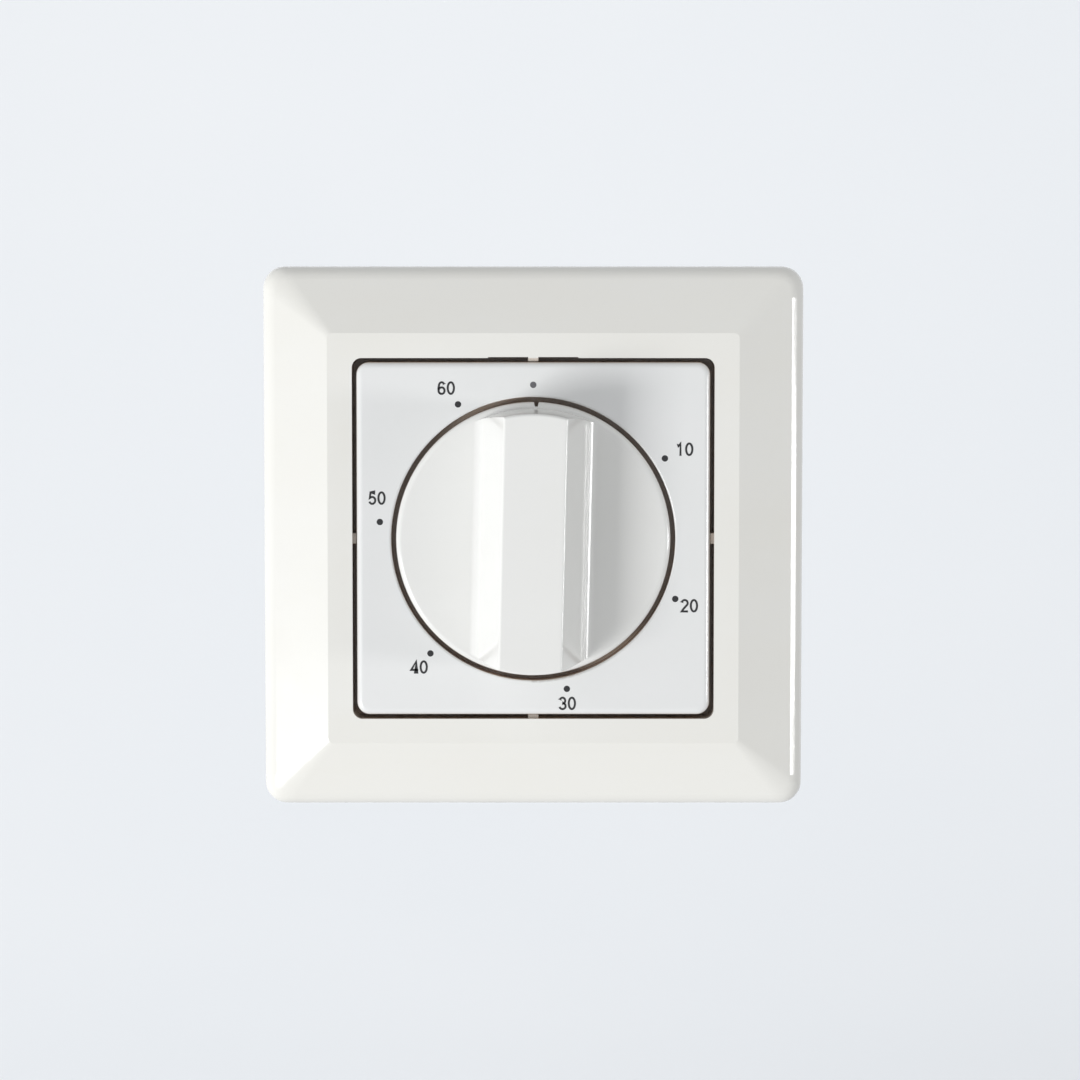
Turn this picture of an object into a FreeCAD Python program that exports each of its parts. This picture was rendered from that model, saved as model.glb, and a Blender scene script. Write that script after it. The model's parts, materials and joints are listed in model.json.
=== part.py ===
import FreeCAD, Part
import math
import os
import Sketcher
from FreeCAD import Placement, Rotation, Vector

# Flush run-back wall timer with a single cover frame, 60 minutes.
#
# Bench frame of the model: x to the right, y up, z out of the wall towards the user. The wall face
# is z = 0 and the knob turns about the z axis. Every sub-part's Placement then stands the bench
# frame up: bench z becomes -Y (out of the wall) and bench y becomes +Z (up). Lengths are mm.

SIZES = [
    # cover frame
    ("frame_side", 84.5),
    ("frame_depth", 9.5),
    ("frame_corner", 3.4),
    ("frame_rim_height", 5.0),
    ("frame_rim_round", 3.2),
    ("frame_land_side", 64.0),
    ("frame_land_corner", 0.8),
    ("frame_wall", 2.0),
    ("opening_side", 56.3),
    ("opening_corner", 1.5),
    ("opening_wall", 1.6),
    ("ledge_side", 53.4),
    ("rib_width", 1.6),
    ("rib_proud", 0.55),
    ("slot_width", 14.0),
    ("slot_depth", 0.15),
    # centre plate
    ("plate_side", 55.0),
    ("plate_corner", 2.0),
    ("plate_back", 3.4),
    ("plate_front", 9.6),
    ("plate_wall", 1.5),
    ("plate_edge_round", 1.0),
    ("well_diameter", 44.2),
    ("well_floor", 5.8),
    ("well_floor_thickness", 1.4),
    # knob
    ("knob_diameter", 42.7),
    ("knob_back", 6.3),
    ("knob_disc_front", 10.0),
    ("knob_disc_round", 0.9),
    ("knob_shell", 1.6),
    ("wing_front", 21.0),
    ("wing_front_width", 9.7),
    ("wing_foot_width", 17.0),
    ("wing_set_back", 0.95),
    ("wing_end_draft", 0.4),
    ("wing_foot_round", 1.6),
    ("wing_edge_round", 0.45),
    ("pointer_width", 0.9),
    ("pointer_depth", 0.7),
    ("hub_diameter", 10.0),
    ("hub_back", 8.8),
    ("knob_lean", 1.3),
    # arbor and bush
    ("arbor_diameter", 6.0),
    ("arbor_flat", 2.4),
    ("arbor_front", 17.0),
    ("arbor_back", -27.0),
    ("running_clearance", 0.05),
    ("bush_diameter", 10.0),
    ("bush_front", 8.3),
    ("bush_flange", 14.0),
    # support plate and wall box
    ("support_side", 71.0),
    ("support_corner", 4.0),
    ("support_thickness", 1.2),
    ("box_pitch", 60.0),
    ("box_slot_length", 7.0),
    ("box_slot_width", 3.8),
    ("claw_pitch", 45.2),
    ("claw_screw_diameter", 3.4),
    # housing
    ("housing_radius", 27.0),
    ("housing_half_width", 20.5),
    ("housing_depth", 31.0),
    ("housing_wall", 1.6),
    ("housing_flange", 29.6),
    ("housing_flange_thickness", 1.5),
    # clockwork frame
    ("movement_radius", 25.0),
    ("movement_half_width", 18.5),
    ("movement_thickness", 1.0),
    ("movement_front", -1.5),
    ("movement_rear", -15.5),
    ("pillar_diameter", 3.5),
    # gear train
    ("gear_module", 0.4),
    ("main_teeth", 60),
    ("second_pinion_teeth", 10),
    ("second_teeth", 50),
    ("third_pinion_teeth", 10),
    ("third_teeth", 48),
    ("escape_pinion_teeth", 8),
    ("escape_teeth", 20),
    ("escape_tip_diameter", 10.0),
    ("pallet_distance", 8.0),
    ("balance_diameter", 10.0),
    # switch
    ("cam_diameter", 14.0),
    ("wire_bore", 3.2),
    ("terminal_pitch", 11.0),
]

doc = FreeCAD.newDocument("run_back_timer")
sheet = doc.addObject("Spreadsheet::Sheet", "Sizes")
for row, (alias, number) in enumerate(SIZES, start=1):
    sheet.set(f"A{row}", alias.replace("_", " "))
    sheet.set(f"B{row}", str(number))
    sheet.setAlias(f"B{row}", alias)
doc.recompute()


class Size(float):
    """A number from the sheet that remembers the expression which binds it."""

    def __new__(cls, number, text=None):
        size = super().__new__(cls, number)
        size.text = text or repr(float(number))
        return size

    def __add__(self, other):
        return Size(float(self) + float(other), f"({self.text} + {text_of(other)})")

    def __sub__(self, other):
        return Size(float(self) - float(other), f"({self.text} - {text_of(other)})")

    def __mul__(self, other):
        return Size(float(self) * float(other), f"({self.text} * {text_of(other)})")

    def __truediv__(self, other):
        return Size(float(self) / float(other), f"({self.text} / {text_of(other)})")

    def __neg__(self):
        return Size(-float(self), f"(-1 * {self.text})")

    __radd__ = __add__
    __rmul__ = __mul__


def text_of(number):
    return number.text if isinstance(number, Size) else repr(float(number))


def size_of(alias):
    return Size(float(sheet.get(alias)), f"Sizes.{alias}")


BENCH = Placement(Vector(0, 0, 0), Rotation(Vector(1, 0, 0), 90))
subparts = []


def keep(part, turn=None):
    """Registers a finished sub-part and stands it up from the bench frame."""
    part.Placement = BENCH if turn is None else BENCH.multiply(turn)
    subparts.append(part)
    return part


# ---------------------------------------------------------------- sketch and feature helpers


def new_body(name):
    body = doc.addObject("PartDesign::Body", name)
    body.Label = name
    return body


def origin_feature(body, role):
    return [item for item in body.Origin.OriginFeatures if item.Role == role][0]


def new_sketch(body, plane="XY_Plane", lift=0.0, at=(0.0, 0.0)):
    """A sketch on one of the body's own planes, lifted along its normal and shifted in it."""
    sketch = body.newObject("Sketcher::SketchObject", body.Name + "_sketch")
    sketch.AttachmentSupport = [(origin_feature(body, plane), "")]
    sketch.MapMode = "FlatFace"
    sketch.setExpression("AttachmentOffset.Base.x", text_of(at[0]))
    sketch.setExpression("AttachmentOffset.Base.y", text_of(at[1]))
    sketch.setExpression("AttachmentOffset.Base.z", text_of(lift))
    return sketch


def constrain(sketch, kind, *terms):
    """Adds a constraint; a last term that is a Size or float is bound as an expression."""
    index = sketch.addConstraint(Sketcher.Constraint(kind, *terms))
    if isinstance(terms[-1], float):
        sketch.setExpression(f"Constraints[{index}]", text_of(terms[-1]))


def pin_point(sketch, item, end, x, y):
    """Holds one end point of a sketch item at x, y from the sketch's origin."""
    for kind, axis, value in (("DistanceX", -2, x), ("DistanceY", -1, y)):
        if abs(value) < 1e-9:
            sketch.addConstraint(Sketcher.Constraint("PointOnObject", item, end, axis))
        else:
            constrain(sketch, kind, -1, 1, item, end, Size(value, text_of(value)))


def polygon(sketch, points):
    """A closed outline of straight lines through the given points."""
    corners = [Vector(float(x), float(y), 0) for x, y in points]
    lines = [
        sketch.addGeometry(Part.LineSegment(start, end), False)
        for start, end in zip(corners, corners[1:] + corners[:1])
    ]
    for line, following in zip(lines, lines[1:] + lines[:1]):
        sketch.addConstraint(Sketcher.Constraint("Coincident", line, 2, following, 1))
    for line, (x, y) in zip(lines, points):
        pin_point(sketch, line, 1, x, y)


def rectangle(sketch, width, height):
    """A rectangle centred on the sketch's origin."""
    x, y = Size(width, text_of(width)) / 2, Size(height, text_of(height)) / 2
    polygon(sketch, [(-x, -y), (x, -y), (x, y), (-x, y)])


def circle(sketch, diameter, x=0.0, y=0.0):
    centre = Vector(float(x), float(y), 0)
    item = sketch.addGeometry(Part.Circle(centre, Vector(0, 0, 1), diameter / 2), False)
    constrain(sketch, "Diameter", item, Size(diameter, text_of(diameter)))
    pin_point(sketch, item, 3, x, y)


def rounded_square(sketch, side, corner):
    """A square centred on the sketch's origin, its corners rounded by arcs."""
    far, near = side / 2, side / 2 - corner
    arcs = []
    for quarter, (x, y) in enumerate(((1, 1), (-1, 1), (-1, -1), (1, -1))):
        ring = Part.Circle(Vector(x * near, y * near, 0), Vector(0, 0, 1), float(corner))
        start = quarter * math.pi / 2
        arcs.append(sketch.addGeometry(Part.ArcOfCircle(ring, start, start + math.pi / 2), False))
        constrain(sketch, "Radius", arcs[-1], Size(corner, text_of(corner)))
        pin_point(sketch, arcs[-1], 3, near if x > 0 else -near, near if y > 0 else -near)
    corners = [Vector(far, near, 0), Vector(near, far, 0)]
    for quarter in range(4):
        turn = Rotation(Vector(0, 0, 1), 90 * quarter)
        start = turn.multVec(corners[1])
        end = Rotation(Vector(0, 0, 1), 90 * (quarter + 1)).multVec(corners[0])
        line = sketch.addGeometry(Part.LineSegment(start, end), False)
        following = arcs[(quarter + 1) % 4]
        sketch.addConstraint(Sketcher.Constraint("Tangent", arcs[quarter], 2, line, 1))
        sketch.addConstraint(Sketcher.Constraint("Tangent", line, 2, following, 1))


def clipped_circle(sketch, radius, half_width):
    """A circle about the sketch's origin with its left and right sides cut off straight."""
    height = math.sqrt(radius ** 2 - half_width ** 2)
    angle = math.atan2(height, half_width)
    ring = Part.Circle(Vector(0, 0, 0), Vector(0, 0, 1), float(radius))
    upper = sketch.addGeometry(Part.ArcOfCircle(ring, angle, math.pi - angle), False)
    lower = sketch.addGeometry(Part.ArcOfCircle(ring, math.pi + angle, 2 * math.pi - angle), False)
    left_line = Part.LineSegment(Vector(-half_width, height, 0), Vector(-half_width, -height, 0))
    right_line = Part.LineSegment(Vector(half_width, -height, 0), Vector(half_width, height, 0))
    left = sketch.addGeometry(left_line, False)
    right = sketch.addGeometry(right_line, False)
    for item, following in ((upper, left), (left, lower), (lower, right), (right, upper)):
        sketch.addConstraint(Sketcher.Constraint("Coincident", item, 2, following, 1))
    for arc in (upper, lower):
        sketch.addConstraint(Sketcher.Constraint("Coincident", arc, 3, -1, 1))
    constrain(sketch, "Radius", upper, Size(radius, text_of(radius)))
    sketch.addConstraint(Sketcher.Constraint("Equal", upper, lower))
    for line, x in ((left, -half_width), (right, half_width)):
        sketch.addConstraint(Sketcher.Constraint("Vertical", line))
        constrain(sketch, "DistanceX", -1, 1, line, 1, x)


def pad(body, sketch, length, reverse=False, both=False):
    feature = body.newObject("PartDesign::Pad", body.Name + "_pad")
    feature.Profile = sketch
    feature.setExpression("Length", text_of(length))
    feature.Reversed = reverse
    if both:
        feature.SideType = "Symmetric"
    doc.recompute()
    return feature


def pocket(body, sketch, depth, upwards=False):
    """Cuts the sketch's outline downwards, or upwards, and makes sure that it removes something."""
    before = body.Shape.Volume
    feature = body.newObject("PartDesign::Pocket", body.Name + "_pocket")
    feature.Profile = sketch
    feature.setExpression("Length", text_of(depth))
    feature.Reversed = upwards
    doc.recompute()
    if not body.Shape.Volume < before:
        raise ValueError(f"a pocket of {body.Label} removes nothing")
    return feature


def revolve(body, sketch, cut=False):
    """Turns the sketch's outline right round the z axis, adding to the body or cutting it."""
    before = body.Shape.Volume if cut else 0.0
    kind = "Groove" if cut else "Revolution"
    feature = body.newObject("PartDesign::" + kind, f"{body.Name}_{kind.lower()}")
    feature.Profile = sketch
    feature.ReferenceAxis = (origin_feature(body, "Z_Axis"), [""])
    feature.Angle = 360.0
    doc.recompute()
    if cut and not body.Shape.Volume < before:
        raise ValueError(f"a groove of {body.Label} removes nothing")
    return feature


def loft(body, lower, upper, cut=False):
    kind = "SubtractiveLoft" if cut else "AdditiveLoft"
    feature = body.newObject("PartDesign::" + kind, f"{body.Name}_{kind.lower()}")
    feature.Profile = lower
    feature.Sections = [upper]
    feature.Ruled = True
    doc.recompute()
    return feature


def round_edges(body, radius, wanted):
    """Rounds the tip's edges for which wanted(edge) is true."""
    tip = body.Tip
    names = [f"Edge{i}" for i, edge in enumerate(tip.Shape.Edges, start=1) if wanted(edge)]
    feature = body.newObject("PartDesign::Fillet", body.Name + "_fillet")
    feature.Base = (tip, names)
    feature.setExpression("Radius", text_of(radius))
    doc.recompute()
    return feature


def lies_at(edge, height):
    """Whether the whole edge lies at this height."""
    box = edge.BoundBox
    return abs(box.ZMin - height) < 1e-4 and abs(box.ZMax - height) < 1e-4


# ---------------------------------------------------------------- what the user sees


def make_frame():
    """Cover frame: rounded rim, sloped bevel, flat land, and a walled opening with a back ledge."""
    side, depth = size_of("frame_side"), size_of("frame_depth")
    rim, corner = size_of("frame_rim_height"), size_of("frame_corner")
    land, land_corner = size_of("frame_land_side"), size_of("frame_land_corner")
    wall, opening = size_of("frame_wall"), size_of("opening_side")
    opening_corner = size_of("opening_corner")
    body = new_body("frame")
    foot = new_sketch(body)
    rounded_square(foot, side, corner)
    pad(body, foot, rim)
    bevel_foot = new_sketch(body, lift=rim)
    rounded_square(bevel_foot, side, corner)
    bevel_top = new_sketch(body, lift=depth)
    rounded_square(bevel_top, land, land_corner)
    loft(body, bevel_foot, bevel_top)
    round_edges(body, size_of("frame_rim_round"), lambda edge: lies_at(edge, float(rim)))
    # The back is hollow behind the rim and the bevel.
    hollow = new_sketch(body)
    rounded_square(hollow, side - wall * 2, corner - wall / 2)
    pocket(body, hollow, rim - wall, upwards=True)
    under_foot = new_sketch(body, lift=rim - wall)
    rounded_square(under_foot, side - wall * 2, corner - wall / 2)
    under_top = new_sketch(body, lift=depth - wall)
    rounded_square(under_top, land - wall, land_corner)
    loft(body, under_foot, under_top, cut=True)
    # The opening has a wall of its own, with a ledge behind for the centre plate's skirt.
    collar = new_sketch(body, lift=size_of("support_thickness") + 0.3)
    rounded_square(collar, opening + size_of("opening_wall") * 2, opening_corner + size_of("opening_wall"))
    pad(body, collar, depth - size_of("support_thickness") - 1.0)
    window = new_sketch(body, lift=size_of("plate_back") - 0.3)
    rounded_square(window, opening, opening_corner)
    pocket(body, window, depth, upwards=True)
    ledge = new_sketch(body)
    rounded_square(ledge, size_of("ledge_side"), opening_corner)
    pocket(body, ledge, depth, upwards=True)
    add_opening_ribs(body, opening / 2)
    cut_release_slot(body, opening / 2)
    return keep(body)


def add_opening_ribs(body, reach):
    """Four small ribs that centre the plate, one in the middle of each side of the opening."""
    width, proud = size_of("rib_width"), size_of("rib_proud")
    lift = size_of("plate_back")
    height = size_of("frame_depth") - lift - 1.2
    centre = reach - proud / 2 + 0.1
    for x, y in ((centre, 0.0), (-centre, 0.0), (0.0, centre), (0.0, -centre)):
        rib = new_sketch(body, lift=lift, at=(x, y))
        across = (proud + 0.2, width) if y == 0.0 else (width, proud + 0.2)
        rectangle(rib, *across)
        pad(body, rib, height)


def cut_release_slot(body, reach):
    """A shallow slot in the top of the opening for a screwdriver, either side of the top rib."""
    width, depth = size_of("slot_width"), size_of("slot_depth")
    rib = size_of("rib_width")
    half = (width - rib) / 2
    for sign in (1.0, -1.0):
        centre = (rib + half) / 2 * sign
        cut = new_sketch(body, lift=size_of("plate_back") + 1.0, at=(centre, reach + depth / 2 - 0.1))
        rectangle(cut, half, depth + 0.2)
        pocket(body, cut, size_of("frame_depth"), upwards=True)


def make_centre_plate():
    """Dial plate: a shallow square cap with a round well for the knob."""
    side, corner = size_of("plate_side"), size_of("plate_corner")
    back, front = size_of("plate_back"), size_of("plate_front")
    wall, well = size_of("plate_wall"), size_of("well_diameter")
    floor, floor_thickness = size_of("well_floor"), size_of("well_floor_thickness")
    body = new_body("centre_plate")
    cap = new_sketch(body, lift=back)
    rounded_square(cap, side, corner)
    pad(body, cap, front - back)
    round_edges(body, size_of("plate_edge_round"), lambda edge: lies_at(edge, float(front)))
    inside = new_sketch(body, lift=back)
    rounded_square(inside, side - wall * 2, corner - wall / 2)
    pocket(body, inside, front - wall - back, upwards=True)
    cup = new_sketch(body, lift=floor - floor_thickness)
    circle(cup, well + wall * 2)
    pad(body, cup, front - wall / 2 - floor + floor_thickness)
    mouth = new_sketch(body, lift=front)
    circle(mouth, well)
    pocket(body, mouth, front - floor)
    round_edges(body, 0.35, lambda edge: lies_at(edge, float(front)) and edge.Length > float(well) * 3)
    bore = new_sketch(body, lift=floor)
    circle(bore, size_of("bush_diameter") + 0.3)
    pocket(body, bore, floor_thickness)
    return keep(body)


def wing_outline(foot_width, front_width, foot, front):
    """The wing's section across the knob: a bar that narrows towards the user."""
    half_foot, half_front = foot_width / 2, front_width / 2
    return [(half_foot, foot), (half_front, front), (-half_front, front), (-half_foot, foot)]


def make_knob():
    """Winding knob: a disc with one straight wing right across it, moulded as a thin shell."""
    radius, back = size_of("knob_diameter") / 2, size_of("knob_back")
    disc, wing, shell = size_of("knob_disc_front"), size_of("wing_front"), size_of("knob_shell")
    front_width, foot_width = size_of("wing_front_width"), size_of("wing_foot_width")
    body = new_body("knob")
    # The bar stands on a thin flange, so that its foot can be rounded into the disc's face.
    bar = new_sketch(body, plane="XZ_Plane")
    flange, under = foot_width / 2 + size_of("wing_foot_round"), disc - 0.4
    polygon(bar, wing_outline(foot_width, front_width, disc, wing)
            + [(-flange, disc), (-flange, under), (flange, under), (flange, disc)])
    pad(body, bar, radius * 2 + 2.0, both=True)
    half_foot = float(foot_width) / 2
    round_edges(body, size_of("wing_foot_round"), lambda edge: lies_at(edge, float(disc))
                and abs(abs(edge.CenterOfMass.x) - half_foot) < 0.05)
    # The wing's ends follow the rim, a little inside it, and lean in towards the front.
    end = radius - size_of("wing_set_back")
    tip = end - size_of("wing_end_draft")
    outside = radius + 4.0
    trim = new_sketch(body, plane="XZ_Plane")
    polygon(trim, [(end, disc - 1.0), (outside, disc - 1.0), (outside, wing + 1.0),
                   (tip, wing + 1.0), (tip, wing), (end, disc)])
    revolve(body, trim, cut=True)
    round_edges(body, size_of("wing_edge_round"), lambda edge: lies_at(edge, float(wing)))
    face = new_sketch(body, lift=back)
    circle(face, radius * 2)
    pad(body, face, disc - back)
    round_edges(body, size_of("knob_disc_round"), lambda edge: lies_at(edge, float(disc))
                and edge.Length > float(radius) * 5)
    hollow_knob(body, radius, back, disc, wing, shell)
    notch = new_sketch(body, lift=back, at=(0.0, radius))
    half, deep = size_of("pointer_width") / 2, size_of("pointer_depth")
    polygon(notch, [(-half, 0.3), (-half / 2, -deep), (half / 2, -deep), (half, 0.3)])
    pocket(body, notch, disc - back, upwards=True)
    return keep(body, knob_lean())


def knob_lean():
    """At off the knob and its arbor rest a little past upright, clockwise."""
    return Placement(Vector(0, 0, 0), Rotation(Vector(0, 0, 1), -float(size_of("knob_lean"))))


def hollow_knob(body, radius, back, disc, wing, shell):
    """Hollows disc and wing from behind and adds the hub with its D-shaped bore, and two webs."""
    pan = new_sketch(body, lift=back)
    circle(pan, (radius - shell) * 2)
    pocket(body, pan, disc - shell - back, upwards=True)
    front_width, foot_width = size_of("wing_front_width"), size_of("wing_foot_width")
    length = (radius - shell - size_of("wing_set_back") - size_of("wing_end_draft")) * 2
    cavity = new_sketch(body, plane="XZ_Plane")
    inset = shell * 2.2
    section = wing_outline(foot_width - inset, front_width - inset, disc - shell - 0.1, wing - shell)
    polygon(cavity, section)
    feature = body.newObject("PartDesign::Pocket", "knob_cavity")
    feature.Profile = cavity
    feature.setExpression("Length", text_of(length))
    feature.SideType = "Symmetric"
    doc.recompute()
    hub_back, bore = size_of("hub_back"), size_of("arbor_diameter")
    hub = new_sketch(body, lift=hub_back)
    circle(hub, size_of("hub_diameter"))
    pad(body, hub, wing - shell + 0.2 - hub_back)
    for side in (1.0, -1.0):
        web = new_sketch(body, lift=disc - shell, at=(0.0, radius * 0.55 * side))
        rectangle(web, foot_width - 2.2, 1.2)
        pad(body, web, shell + 0.8)
    socket = new_sketch(body, lift=hub_back)
    circle(socket, bore + size_of("running_clearance"))
    pocket(body, socket, size_of("arbor_front") + 0.3 - hub_back, upwards=True)
    flat = size_of("arbor_flat") + 0.03
    key = new_sketch(body, lift=hub_back + 0.6, at=((bore / 2 + flat) / 2 + 0.2, 0.0))
    rectangle(key, bore / 2 - flat + 0.4, bore * 0.7)
    pad(body, key, size_of("arbor_front") + 0.3 - hub_back)


def make_knob_clip():
    """Spring ring round the knob's hub, open on one side."""
    hub = size_of("hub_diameter")
    body = new_body("knob_clip")
    ring = new_sketch(body, lift=size_of("hub_back") + 0.4)
    circle(ring, hub + 0.1)
    circle(ring, hub + 1.3)
    pad(body, ring, 2.0)
    gap = new_sketch(body, lift=size_of("hub_back") + 2.4, at=(0.0, hub / 2))
    rectangle(gap, 2.4, 3.0)
    pocket(body, gap, 2.0)
    return keep(body)


# ---------------------------------------------------------------- bush, nut and arbor


def make_bush():
    """Threaded brass bush: flange behind the support plate, plain running bore for the arbor."""
    outside, flange = size_of("bush_diameter") / 2, size_of("bush_flange") / 2
    bore = size_of("arbor_diameter") / 2 + size_of("running_clearance")
    front = size_of("bush_front")
    body = new_body("threaded_bush")
    half = new_sketch(body, plane="XZ_Plane")
    polygon(half, [(bore, -1.2), (flange, -1.2), (flange, -0.05), (outside, -0.05),
                   (outside, front - 0.5), (outside - 0.5, front), (bore, front)])
    revolve(body, half)
    return keep(body)


def make_ring(name, inner, outer, low, high, sides=0):
    """A washer, or a nut with the given number of sides, about the knob's axis."""
    body = new_body(name)
    sketch = new_sketch(body, lift=low)
    if sides:
        corner = [(outer / math.cos(math.pi / sides) * math.cos(2 * math.pi * i / sides),
                   outer / math.cos(math.pi / sides) * math.sin(2 * math.pi * i / sides))
                  for i in range(sides)]
        polygon(sketch, corner)
    else:
        circle(sketch, outer * 2)
    circle(sketch, inner * 2)
    pad(body, sketch, high - low)
    return keep(body)


def make_arbor():
    """Winding arbor: round steel with a D flat for the knob and a groove for the retaining ring."""
    radius, flat = size_of("arbor_diameter") / 2, size_of("arbor_flat")
    front, back, hub = size_of("arbor_front"), size_of("arbor_back"), size_of("hub_back")
    body = new_body("arbor")
    half = new_sketch(body, plane="XZ_Plane")
    groove = size_of("movement_rear") - 1.0 - 0.3
    polygon(half, [(0.0, back), (radius - 0.4, back), (radius, back + 0.4), (radius, groove - 0.7),
                   (radius - 0.5, groove - 0.7), (radius - 0.5, groove), (radius, groove),
                   (radius, front - 0.4), (radius - 0.4, front), (0.0, front)])
    revolve(body, half)
    cut = new_sketch(body, lift=front, at=(flat + 1.5, 0.0))
    rectangle(cut, 3.0, radius * 3)
    pocket(body, cut, front - hub)
    return keep(body, knob_lean())


# ---------------------------------------------------------------- support plate and housing


CLAW_WIDTH = 7.2
CLAW_EAR = 0.7
CLAW_NOTCH_WIDTH = 1.3
CLAW_NOTCH_INNER = 0.85
CLAW_NOTCH_OUTER = 4.15


def make_support_plate():
    """Steel plate against the wall, with slots for box screws on both axes and for the claws."""
    side, thick = size_of("support_side"), size_of("support_thickness")
    body = new_body("support_plate")
    blank = new_sketch(body)
    rounded_square(blank, side, size_of("support_corner"))
    pad(body, blank, thick)
    centre = new_sketch(body, lift=thick)
    circle(centre, size_of("bush_diameter") + 0.04)
    pocket(body, centre, thick)
    width, length = size_of("box_slot_width"), size_of("box_slot_length")
    for x, y in ((1, 0), (-1, 0), (0, 1), (0, -1)):
        reach = size_of("box_pitch") / 2
        cut = new_sketch(body, lift=thick, at=(reach * x, reach * y))
        stadium(cut, length - width, width, along_y=bool(y))
        pocket(body, cut, thick)
    for x in (1, -1):
        cut = new_sketch(body, lift=thick, at=(size_of("claw_pitch") / 2 * x, 0.0))
        stadium(cut, Size(0.9), size_of("claw_screw_diameter") + 0.5)
        pocket(body, cut, thick)
        inner, outer = -CLAW_NOTCH_INNER * x, CLAW_NOTCH_OUTER * x
        half = CLAW_NOTCH_WIDTH / 2
        for y in (1, -1):
            at = (size_of("claw_pitch") / 2 * x, (CLAW_WIDTH - CLAW_EAR) / 2 * y)
            notch = new_sketch(body, lift=thick, at=at)
            polygon(notch, [(inner, -half), (outer, -half), (outer, half), (inner, half)])
            pocket(body, notch, thick)
    holes = new_sketch(body, lift=thick)
    for x, y in pillar_places():
        circle(holes, 2.8, x, y)
    for x, y in rivet_places():
        circle(holes, 2.0, x, y)
    pocket(body, holes, thick)
    return keep(body)


def stadium(sketch, straight, width, along_y=False):
    """A slot outline centred on the sketch's origin: two half circles and two straight sides."""
    reach, radius = float(straight) / 2, float(width) / 2
    turn = Rotation(Vector(0, 0, 1), 90 if along_y else 0)
    spots = [turn.multVec(Vector(reach * sign, 0, 0)) for sign in (1, -1)]
    quarter = math.pi / 2 if along_y else 0.0
    arcs = []
    for spot, start in zip(spots, (quarter - math.pi / 2, quarter + math.pi / 2)):
        ring = Part.Circle(spot, Vector(0, 0, 1), radius)
        arcs.append(sketch.addGeometry(Part.ArcOfCircle(ring, start, start + math.pi), False))
    for arc, other, sign in ((arcs[0], arcs[1], 1), (arcs[1], arcs[0], -1)):
        start = sketch.getPoint(arc, 2)
        end = sketch.getPoint(other, 1)
        side = sketch.addGeometry(Part.LineSegment(start, end), False)
        sketch.addConstraint(Sketcher.Constraint("Tangent", arc, 2, side, 1))
        sketch.addConstraint(Sketcher.Constraint("Tangent", side, 2, other, 1))
        constrain(sketch, "Radius", arc, Size(width, text_of(width)) / 2)
        shift = Size(straight, text_of(straight)) / 2 * sign
        pin_point(sketch, arc, 3, *((0.0, shift) if along_y else (shift, 0.0)))


def pillar_places():
    """Where the four pillars of the clockwork stand, clear of every wheel."""
    return [(-11.0, -18.0), (11.0, -18.0), (16.4, 14.5), (-16.2, 2.6)]


def rivet_places():
    """Four rivets through the housing's flange, on the diagonals."""
    radius = float(size_of("housing_radius")) + 1.3
    return [(radius * math.cos(angle), radius * math.sin(angle))
            for angle in (math.radians(base) for base in (60, 120, 240, 300))]


def terminal_places():
    pitch = float(size_of("terminal_pitch"))
    return [(pitch * step, -15.5) for step in (-1, 0, 1)]


def make_housing():
    """Insulating cup behind the plate: flat at both sides, with wire and screwdriver holes."""
    radius, half = size_of("housing_radius"), size_of("housing_half_width")
    depth, wall = size_of("housing_depth"), size_of("housing_wall")
    body = new_body("housing")
    outer = new_sketch(body, lift=-depth)
    clipped_circle(outer, radius, half)
    pad(body, outer, depth - 0.05)
    rear = -float(depth)
    round_edges(body, 1.0, lambda edge: lies_at(edge, rear))
    thick = size_of("housing_flange_thickness")
    flange = new_sketch(body, lift=-thick)
    clipped_circle(flange, size_of("housing_flange"), half)
    pad(body, flange, thick - 0.05)
    inner = new_sketch(body)
    clipped_circle(inner, radius - wall, half - wall)
    pocket(body, inner, depth - wall)
    wires = new_sketch(body, lift=-depth)
    for x, y in terminal_places():
        circle(wires, size_of("wire_bore") + 1.0, x, y)
    pocket(body, wires, wall + 1.0, upwards=True)
    rivets = new_sketch(body)
    for x, y in rivet_places():
        circle(rivets, 2.0, x, y)
    pocket(body, rivets, thick)
    access = new_sketch(body, plane="XZ_Plane", lift=radius + 1.0)
    for x, _ in terminal_places():
        circle(access, 4.6, x, -26.0)
    pocket(body, access, radius - 20.0)
    return keep(body)


# ---------------------------------------------------------------- clockwork: plates and pillars


def turned(radius, angle, centre=(0.0, 0.0)):
    """The point at this radius and angle, in degrees, about a centre."""
    along = math.radians(angle)
    return centre[0] + radius * math.cos(along), centre[1] + radius * math.sin(along)


def heading(start, end):
    """The angle in degrees of the line from one point to another."""
    return math.degrees(math.atan2(end[1] - start[1], end[0] - start[0]))


MODULE = float(size_of("gear_module"))
MAIN, PINION = int(size_of("main_teeth")), int(size_of("second_pinion_teeth"))
SECOND, THIRD = int(size_of("second_teeth")), int(size_of("third_teeth"))
THIRD_PINION, ESCAPE_PINION = int(size_of("third_pinion_teeth")), int(size_of("escape_pinion_teeth"))
ESCAPE = int(size_of("escape_teeth"))
ARBOR_AT = (0.0, 0.0)
SECOND_AT = turned(MODULE * (MAIN + PINION) / 2, 122.4)
THIRD_AT = turned(MODULE * (SECOND + THIRD_PINION) / 2, 7.5, SECOND_AT)
ESCAPE_AT = turned(MODULE * (THIRD + ESCAPE_PINION) / 2, -40.7, THIRD_AT)
BALANCE_AT = turned(float(size_of("pallet_distance")), -86.4, ESCAPE_AT)
PIVOTS = [SECOND_AT, THIRD_AT, ESCAPE_AT, BALANCE_AT]
STAFF_RADIUS = 0.6
PIVOT_RADIUS = 0.35
SPRING_POST_AT = turned(10.1, 225.0)
BOSS_PLACES = [(-13.0, 14.0), (15.8, -10.0)]
FRONT_FACE = float(size_of("movement_front"))
REAR_FACE = float(size_of("movement_rear"))
SHEET = float(size_of("movement_thickness"))


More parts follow.
